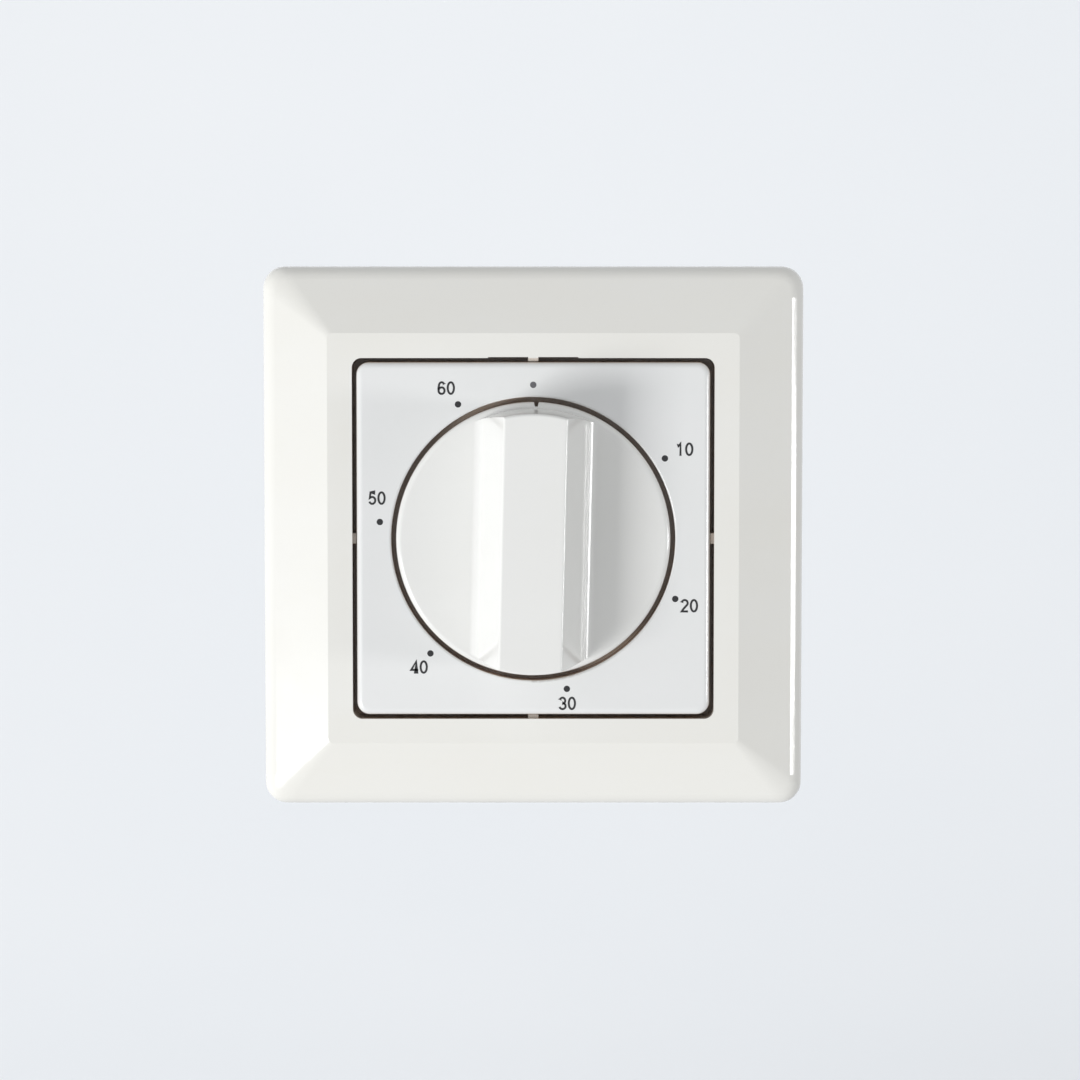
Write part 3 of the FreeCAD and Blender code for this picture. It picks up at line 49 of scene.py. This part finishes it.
class Nodes:
    """A short way to add shader nodes to one material and link them."""

    def __init__(self, name):
        self.material = bpy.data.materials.new(name)
        self.material.use_nodes = True
        self.tree = self.material.node_tree
        self.shader = self.tree.nodes["Principled BSDF"]
        self.place = self.add("ShaderNodeTexCoord").outputs["Object"]

    def add(self, kind, **values):
        node = self.tree.nodes.new(kind)
        for key, value in values.items():
            if key in node.inputs:
                node.inputs[key].default_value = value
            else:
                setattr(node, key, value)
        return node

    def link(self, start, end):
        self.tree.links.new(start, end)

    def stretched(self, scale):
        mapping = self.add("ShaderNodeMapping")
        mapping.inputs["Scale"].default_value = scale
        self.link(self.place, mapping.inputs["Vector"])
        return mapping.outputs["Vector"]

    def noise(self, scale, detail=4.0, roughness=0.5, vector=None):
        node = self.add("ShaderNodeTexNoise", Scale=scale, Detail=detail, Roughness=roughness)
        self.link(vector or self.place, node.inputs["Vector"])
        return node.outputs["Fac"]

    def ramp(self, factor, stops):
        """A colour ramp; stops are (position, colour) pairs, a plain number being a grey."""
        node = self.add("ShaderNodeValToRGB")
        elements = node.color_ramp.elements
        while len(elements) < len(stops):
            elements.new(0.5)
        for element, (position, colour) in zip(elements, stops):
            element.position = position
            shade = (colour,) * 3 if isinstance(colour, (int, float)) else colour
            element.color = (*shade, 1.0)
        self.link(factor, node.inputs["Fac"])
        return node.outputs["Color"]

    def mix(self, factor, first, second, blend="MIX"):
        node = self.add("ShaderNodeMix", data_type="RGBA", blend_type=blend)
        for socket, value in (("Factor", factor), ("A", first), ("B", second)):
            target = [item for item in node.inputs if item.name == socket and item.enabled][0]
            if isinstance(value, bpy.types.NodeSocket):
                self.link(value, target)
            elif socket == "Factor":
                target.default_value = value
            else:
                target.default_value = (*value, 1.0)
        return [item for item in node.outputs if item.enabled][0]

    def bump(self, heights):
        """Chained bumps; each is (height socket, strength, distance in metres)."""
        normal = None
        for height, strength, distance in heights:
            node = self.add("ShaderNodeBump", Strength=strength, Distance=distance)
            self.link(height, node.inputs["Height"])
            if normal:
                self.link(normal, node.inputs["Normal"])
            normal = node.outputs["Normal"]
        self.link(normal, self.shader.inputs["Normal"])

    def set(self, **values):
        for key, value in values.items():
            self.shader.inputs[key.replace("_", " ")].default_value = value
        return self.material


# Painted shade: a face turns brown where less than GAP_CLEAR of the space within GAP_REACH metres of it
# is open, and is fully brown below GAP_DARK.
PAINTED_GAP_SHADE_BROWN = (0.52, 0.36, 0.24)
GAP_DARK = 0.12
GAP_CLEAR = 0.42
GAP_REACH = 0.003


def white_plastic(name, colour, warm, roughness, grain):
    """Glossy white moulding: faint flow marks, fine grain, and brown painted shade down in narrow gaps.
    """
    n = Nodes(name)
    flow = n.noise(38.0, 5.0, 0.55, n.stretched((1.0, 1.0, 2.4)))
    tint = n.ramp(flow, [(0.30, colour), (0.72, warm)])
    specks = n.noise(900.0, 2.0, 0.5)
    toned = n.mix(n.ramp(specks, [(0.55, 0.0), (0.75, 0.03)]), tint, warm, "MULTIPLY")
    # Painted shade: the colour turns brown where nearby faces hem the surface in, in the gaps between
    # parts.
    open_to_light = n.add("ShaderNodeAmbientOcclusion", samples=8, Distance=GAP_REACH).outputs["AO"]
    painted_gap_shade = n.ramp(open_to_light, [(GAP_DARK, 1.0), (GAP_CLEAR, 0.0)])
    n.link(n.mix(painted_gap_shade, toned, PAINTED_GAP_SHADE_BROWN), n.shader.inputs["Base Color"])
    haze = n.noise(150.0, 6.0, 0.6)
    n.link(n.ramp(haze, [(0.30, roughness * 0.9), (0.75, roughness * 1.15)]),
           n.shader.inputs["Roughness"])
    n.bump([(n.noise(1400.0, 3.0, 0.6), grain, 0.00001), (n.noise(60.0, 2.0, 0.5), 0.04, 0.0001)])
    return n.set(IOR=1.5, Coat_Weight=0.15, Coat_Roughness=0.06)


def matt_plastic(name, dark, light, roughness):
    """Matt thermoset moulding with a fine spark-eroded grain and pale handling scuffs."""
    n = Nodes(name)
    cloud = n.noise(55.0, 6.0, 0.6)
    scuff = n.noise(420.0, 8.0, 0.75, n.stretched((1.0, 3.0, 1.0)))
    base = n.ramp(cloud, [(0.3, dark), (0.75, light)])
    pale = tuple(min(1.0, channel * 1.8 + 0.03) for channel in light)
    n.link(n.mix(n.ramp(scuff, [(0.6, 0.0), (0.78, 0.5)]), base, pale), n.shader.inputs["Base Color"])
    n.link(n.ramp(scuff, [(0.35, roughness), (0.8, roughness * 1.25)]), n.shader.inputs["Roughness"])
    n.bump([(n.noise(2600.0, 2.0, 0.5), 0.35, 0.00004), (cloud, 0.15, 0.0003)])
    return n.set(IOR=1.5)


def plated_steel(name, colour, tint, roughness, lines=(1.0, 1.0, 60.0)):
    """Zinc-plated or polished steel: drawn lines, a cloudy passivation tint and small scratches."""
    n = Nodes(name)
    drawn = n.noise(160.0, 6.0, 0.7, n.stretched(lines))
    cloud = n.noise(90.0, 5.0, 0.6)
    base = n.mix(n.ramp(cloud, [(0.35, 0.0), (0.7, 0.85)]), colour, tint)
    n.link(n.mix(n.ramp(drawn, [(0.3, 0.25), (0.7, 0.0)]), base, tuple(c * 0.7 for c in colour)),
           n.shader.inputs["Base Color"])
    n.link(n.ramp(drawn, [(0.25, roughness * 0.7), (0.8, roughness * 1.5)]),
           n.shader.inputs["Roughness"])
    n.bump([(drawn, 0.25, 0.00003), (n.noise(1200.0, 3.0, 0.6), 0.12, 0.00002)])
    return n.set(Metallic=1.0)


def brass(name, colour, dull, roughness, lines=(1.0, 1.0, 25.0)):
    """Brass or bronze with drawing or turning lines and patches of tarnish."""
    n = Nodes(name)
    lined = n.noise(220.0, 5.0, 0.65, n.stretched(lines))
    tarnish = n.noise(75.0, 6.0, 0.62)
    base = n.mix(n.ramp(tarnish, [(0.45, 0.0), (0.8, 0.7)]), colour, dull)
    n.link(base, n.shader.inputs["Base Color"])
    n.link(n.ramp(tarnish, [(0.35, roughness), (0.85, roughness * 1.8)]), n.shader.inputs["Roughness"])
    n.bump([(lined, 0.22, 0.00003)])
    return n.set(Metallic=1.0)


def print_ink(name, dark, light):
    """Grey pad print, slightly uneven."""
    n = Nodes(name)
    patch = n.noise(2200.0, 4.0, 0.6)
    n.link(n.ramp(patch, [(0.3, (dark,) * 3), (0.8, (light, light, light * 1.1))]),
           n.shader.inputs["Base Color"])
    n.link(n.ramp(patch, [(0.3, 0.42), (0.8, 0.6)]), n.shader.inputs["Roughness"])
    return n.set(IOR=1.45)


MATERIALS = {
    "frame_plastic": white_plastic("frame_white", (0.87, 0.865, 0.825), (0.86, 0.85, 0.80), 0.17, 0.06),
    "plate_plastic": white_plastic("plate_white", (0.84, 0.845, 0.84), (0.82, 0.83, 0.82), 0.17, 0.06),
    "knob_plastic": white_plastic("knob_white", (0.86, 0.862, 0.84), (0.845, 0.845, 0.82), 0.15, 0.05),
    "housing_plastic": matt_plastic("housing_black", (0.018, 0.018, 0.020), (0.034, 0.034, 0.036), 0.52),
    "carrier_plastic": matt_plastic("carrier_natural", (0.36, 0.31, 0.22), (0.46, 0.41, 0.31), 0.55),
    "cam_plastic": matt_plastic("cam_ivory", (0.55, 0.51, 0.40), (0.66, 0.62, 0.50), 0.42),
    "zinc_steel": plated_steel("zinc_sheet", (0.60, 0.61, 0.62), (0.62, 0.60, 0.52), 0.34),
    "claw_steel": plated_steel("claw_zinc", (0.56, 0.56, 0.54), (0.60, 0.55, 0.42), 0.36,
                               (1.0, 40.0, 1.0)),
    "rivet_steel": plated_steel("rivet_zinc", (0.62, 0.62, 0.62), (0.58, 0.57, 0.52), 0.30),
    "nut_steel": plated_steel("nut_zinc", (0.62, 0.62, 0.61), (0.60, 0.56, 0.46), 0.28),
    "screw_steel": plated_steel("screw_zinc", (0.62, 0.58, 0.46), (0.66, 0.56, 0.36), 0.30),
    "turned_steel": plated_steel("turned_steel", (0.56, 0.57, 0.58), (0.50, 0.51, 0.53), 0.20,
                                 (1.0, 50.0, 1.0)),
    "spring_steel": plated_steel("blued_steel", (0.10, 0.13, 0.22), (0.17, 0.15, 0.20), 0.26),
    "brass": brass("turned_brass", (0.78, 0.57, 0.24), (0.52, 0.36, 0.15), 0.22, (1.0, 30.0, 1.0)),
    "terminal_brass": brass("terminal_brass", (0.76, 0.58, 0.28), (0.50, 0.37, 0.18), 0.28),
    "brass_plate": brass("plate_brass", (0.77, 0.58, 0.27), (0.55, 0.40, 0.18), 0.26, (30.0, 1.0, 1.0)),
    "gear_brass": brass("gear_brass", (0.80, 0.60, 0.27), (0.60, 0.43, 0.19), 0.20),
    "contact_bronze": brass("contact_bronze", (0.72, 0.42, 0.22), (0.45, 0.24, 0.13), 0.24),
    "dial_print": print_ink("dial_ink", 0.022, 0.040),
}
OFF_INK = print_ink("off_dot_ink", 0.11, 0.17)


def dress_cad_nodes():
    """Give every CAD node the finish of its material slot."""
    for part in frame["record"]["subparts"]:
        node = NODES[part["node"]]
        material = MATERIALS[part["material_slot"]]
        for slot in node.material_slots:
            slot.material = material


# ------------------------------------------------------------------ print on the dial plate

DIAL_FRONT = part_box("centre_plate")[0].y
PRINT_LIFT = 0.015 * MM
DOT_RING = 24.0 * MM
DOT_RADIUS = 0.50 * MM
DOT_TAPER = 0.94
DOT_SIDES = 40
# Degrees clockwise from the off dot at the top to 10, and from each ten to the next.
FIRST_STEP = 58.4
STEP = 54.5
DIGIT_HEIGHT = 2.05 * MM
# The middle of each number, x and z in millimetres.
NUMBER_PLACES = {10: (23.5, 14.0), 20: (24.3, -10.4), 30: (5.3, -25.7), 40: (-17.8, -20.0),
                 50: (-24.3, 6.4), 60: (-13.5, 23.5)}


def printed(name, mesh, x, z, ink):
    """A thin printed piece on the face of the centre plate."""
    piece = bpy.data.objects.new(name, mesh)
    bpy.context.scene.collection.objects.link(piece)
    piece.location = (x, DIAL_FRONT - PRINT_LIFT, z)
    piece.rotation_euler = (math.pi / 2, 0.0, 0.0)
    mesh.materials.clear()
    mesh.materials.append(ink)
    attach(piece, "root")


def dot_mesh(name):
    """A low round dot with a slightly tapered edge."""
    mesh = bpy.data.meshes.new(name)
    shape = bmesh.new()
    bmesh.ops.create_cone(shape, cap_ends=True, segments=DOT_SIDES, radius1=DOT_RADIUS,
                          radius2=DOT_RADIUS * DOT_TAPER, depth=PRINT_LIFT)
    shape.to_mesh(mesh)
    shape.free()
    return mesh


def arc(x, y, rx, ry, start, end, steps=14):
    """Points along part of an ellipse, its angles in degrees anticlockwise from the right."""
    turns = [math.radians(start + (end - start) * step / steps) for step in range(steps + 1)]
    return [(x + rx * math.cos(turn), y + ry * math.sin(turn)) for turn in turns]


# Each digit as the centre lines of its strokes, in a box DIGIT_WIDTH wide and 1 high.
DIGIT_WIDTH = 0.60
DIGIT_ADVANCE = 0.70
STROKE = 0.155
MITRE_LIMIT = 0.45
SAME_POINT = 1e-6
DIGITS = {
    "0": [arc(0.30, 0.5, 0.235, 0.435, 90, 450, 40)],
    "1": [[(0.10, 0.76), (0.24, 0.80), (0.335, 0.93), (0.335, 0.0)]],
    "2": [arc(0.30, 0.70, 0.225, 0.235, 170, -30) + [(0.20, 0.25), (0.08, 0.065), (0.55, 0.065)]],
    "3": [arc(0.29, 0.705, 0.205, 0.230, 165, -80), arc(0.29, 0.285, 0.235, 0.225, 95, -165)],
    "4": [[(0.42, 0.0), (0.42, 0.92), (0.05, 0.28), (0.58, 0.28)]],
    "5": [[(0.52, 0.92), (0.17, 0.92), (0.11, 0.50)] + arc(0.295, 0.325, 0.230, 0.265, 130, -160)],
    "6": [arc(0.31, 0.62, 0.225, 0.315, 30, 150) + arc(0.31, 0.42, 0.245, 0.36, 160, 185, 4),
          arc(0.30, 0.305, 0.225, 0.245, 90, 450, 36)],
}


def stroke(shape, line, width, low, high):
    """A flat ribbon of even width and thickness along a line of points, its corners mitred."""
    closed = math.dist(line[0], line[-1]) < SAME_POINT
    points = line[:-1] if closed else line
    count = len(points)
    rows = []
    for index, (x, y) in enumerate(points):
        before = points[index - 1] if closed or index else (x, y)
        after = points[(index + 1) % count] if closed or index < count - 1 else (x, y)
        here = Vector((x, y))
        into, out = (here - Vector(before)), (Vector(after) - here)
        into, out = (into or out).normalized(), (out or into).normalized()
        along = (into + out).normalized()
        across = Vector((-along.y, along.x)) * (width / 2 / max(MITRE_LIMIT, along.dot(into)))
        rows.append([shape.verts.new((*(here + across * side), height))
                     for side, height in ((1, low), (-1, low), (-1, high), (1, high))])
    spans = zip(rows, rows[1:] + rows[:1]) if closed else zip(rows, rows[1:])
    for first, second in spans:
        for corner in range(4):
            following = (corner + 1) % 4
            shape.faces.new((first[corner], first[following], second[following], second[corner]))
    if not closed:
        shape.faces.new(rows[0])
        shape.faces.new(rows[-1])


def number_mesh(text):
    """A number as thin solid print, centred on its middle."""
    mesh = bpy.data.meshes.new("number_" + text)
    shape = bmesh.new()
    width = DIGIT_ADVANCE * (len(text) - 1) + DIGIT_WIDTH
    for place, digit in enumerate(text):
        for line in DIGITS[digit]:
            shift = place * DIGIT_ADVANCE - width / 2
            moved = [((x + shift) * DIGIT_HEIGHT, (y - 0.5) * DIGIT_HEIGHT) for x, y in line]
            stroke(shape, moved, STROKE * DIGIT_HEIGHT, -PRINT_LIFT / 2, PRINT_LIFT / 2)
    bmesh.ops.recalc_face_normals(shape, faces=shape.faces)
    shape.to_mesh(mesh)
    shape.free()
    return mesh


def make_print():
    """The off dot, a dot for each ten minutes, and the numbers beside them."""
    angles = {0: 0.0}
    for index, minutes in enumerate(NUMBER_PLACES):
        angles[minutes] = FIRST_STEP + STEP * index
    for minutes, angle in angles.items():
        turn = math.radians(angle)
        x, z = DOT_RING * math.sin(turn), DOT_RING * math.cos(turn)
        ink = MATERIALS["dial_print"] if minutes else OFF_INK
        printed(f"dot_{minutes}", dot_mesh(f"dot_{minutes}"), x, z, ink)
    for minutes, (x, z) in NUMBER_PLACES.items():
        printed(f"number_{minutes}", number_mesh(str(minutes)), x * MM, z * MM, MATERIALS["dial_print"])


# ------------------------------------------------------------------ studio

# The stage: its lengths in metres, then how many steps its curve has and how many sides.
STAGE_FLOOR, STAGE_TOP = -0.42, 2.6
STAGE_REACH, STAGE_CURVE = 1.5, 0.7
CURVE_STEPS = 12
STAGE_SIDES = 96

# Each light: its name, place, width and height, power in watts, and the point that it faces.
LIGHTS = (
    ("key", (-0.86, -0.80, -0.44), (0.45, 0.45), 9.1, (0.0, 0.0, 0.0)),
    ("right_band", (1.20, -0.42, -0.10), (0.5, 0.16), 4.4, (0.0, 0.0, 0.0)),
    ("wall_wash", (-0.3, 0.9, 0.9), (1.4, 1.4), 13.5, (-0.4, 2.4, 0.1)),
)

# The room's light: its colour, then each lobe's direction and strength.
ROOM_COLOUR = (0.97, 0.98, 1.0, 1.0)
ROOM_LOBES = (
    ((-1.0, 0.0, 0.0), 0.76),
    ((1.0, 0.0, 0.0), 0.13),
    ((0.0, -1.0, 0.0), 0.27),
    ((0.0, 1.0, 0.0), 0.45),
    ((0.0, 0.0, 1.0), 0.39),
    ((0.0, 0.0, -1.0), 0.33),
)

# The camera, in metres: its distance, the width of the view at that distance, and how far it aims
# to the right of and above the frame's middle.
CAMERA_DISTANCE = 0.62
CAMERA_ELEVATION = math.radians(4.5)
CAMERA_FIELD = 0.168
CAMERA_SHIFT = (1.05 * MM, -0.14 * MM)
SENSOR_WIDTH = 36.0


def stage_material():
    """Matt, faintly cloudy off-white paint."""
    n = Nodes("studio_paint")
    cloud = n.noise(3.0, 3.0, 0.5)
    n.link(n.ramp(cloud, [(0.3, (0.80, 0.825, 0.85)), (0.8, (0.82, 0.84, 0.86))]),
           n.shader.inputs["Base Color"])
    n.bump([(n.noise(60.0, 4.0, 0.6), 0.1, 0.001)])
    return n.set(Roughness=0.85)


def make_stage():
    """A pale studio bowl: a level floor that curves up into a round wall on every side."""
    profile = [(0.0, STAGE_FLOOR), (STAGE_REACH, STAGE_FLOOR)]
    for step in range(1, CURVE_STEPS + 1):
        turn = math.pi / 2 * step / CURVE_STEPS
        profile.append((STAGE_REACH + STAGE_CURVE * math.sin(turn),
                        STAGE_FLOOR + STAGE_CURVE * (1 - math.cos(turn))))
    profile.append((STAGE_REACH + STAGE_CURVE, STAGE_TOP))
    shape = bmesh.new()
    verts = [shape.verts.new((radius, 0.0, height)) for radius, height in profile]
    edges = [shape.edges.new(pair) for pair in zip(verts, verts[1:])]
    bmesh.ops.spin(shape, geom=verts + edges, cent=(0, 0, 0), axis=(0, 0, 1), angle=2 * math.pi,
                   steps=STAGE_SIDES, use_merge=True)
    bmesh.ops.remove_doubles(shape, verts=shape.verts, dist=0.01 * MM)
    mesh = bpy.data.meshes.new("studio")
    shape.to_mesh(mesh)
    shape.free()
    mesh.shade_smooth()
    studio = bpy.data.objects.new("studio", mesh)
    bpy.context.scene.collection.objects.link(studio)
    mesh.materials.append(stage_material())
    studio.visible_shadow = False
    studio.visible_diffuse = False


def aim(item, target):
    """Turn a light or the camera to face a point."""
    item.rotation_mode = "QUATERNION"
    item.rotation_quaternion = (target - item.location).to_track_quat("-Z", "Y")


def make_lights():
    """Soft white area lights: two on the part, and one that washes the studio behind it."""
    for name, place, (width, height), power, target in LIGHTS:
        data = bpy.data.lights.new(name, "AREA")
        data.shape = "RECTANGLE"
        data.size = width
        data.size_y = height
        data.energy = power
        light = bpy.data.objects.new(name, data)
        bpy.context.scene.collection.objects.link(light)
        light.location = place
        aim(light, Vector(target))


def make_room():
    """A pale room as world light: a broad soft lobe from each side."""
    world = bpy.data.worlds.new("soft_room")
    world.use_nodes = True
    tree = world.node_tree
    place = tree.nodes.new("ShaderNodeTexCoord").outputs["Generated"]
    total = None
    for direction, strength in ROOM_LOBES:
        dot = tree.nodes.new("ShaderNodeVectorMath")
        dot.operation = "DOT_PRODUCT"
        tree.links.new(place, dot.inputs[0])
        dot.inputs[1].default_value = direction
        facing = tree.nodes.new("ShaderNodeMath")
        facing.operation = "MAXIMUM"
        tree.links.new(dot.outputs["Value"], facing.inputs[0])
        facing.inputs[1].default_value = 0.0
        add = tree.nodes.new("ShaderNodeMath")
        add.operation = "MULTIPLY_ADD"
        tree.links.new(facing.outputs["Value"], add.inputs[0])
        add.inputs[1].default_value = strength
        add.inputs[2].default_value = 0.0
        if total:
            tree.links.new(total, add.inputs[2])
        total = add.outputs["Value"]
    back = tree.nodes["Background"]
    back.inputs["Color"].default_value = ROOM_COLOUR
    tree.links.new(total, back.inputs["Strength"])
    bpy.context.scene.world = world


def make_camera():
    """In front of the part and a little above it, looking slightly down through a long lens."""
    data = bpy.data.cameras.new("camera")
    data.sensor_width = SENSOR_WIDTH
    data.lens = SENSOR_WIDTH * CAMERA_DISTANCE / CAMERA_FIELD
    camera = bpy.data.objects.new("camera", data)
    bpy.context.scene.collection.objects.link(camera)
    low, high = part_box("frame")
    across, up = CAMERA_SHIFT
    target = Vector(((low.x + high.x) / 2 + across, low.y, (low.z + high.z) / 2 + up))
    back = Vector((0.0, -math.cos(CAMERA_ELEVATION), math.sin(CAMERA_ELEVATION)))
    camera.location = target + back * CAMERA_DISTANCE
    aim(camera, target)
    bpy.context.scene.camera = camera


make_camera()
make_stage()
make_lights()
make_room()
dress_cad_nodes()
make_print()
bpy.context.scene.view_settings.view_transform = "Standard"
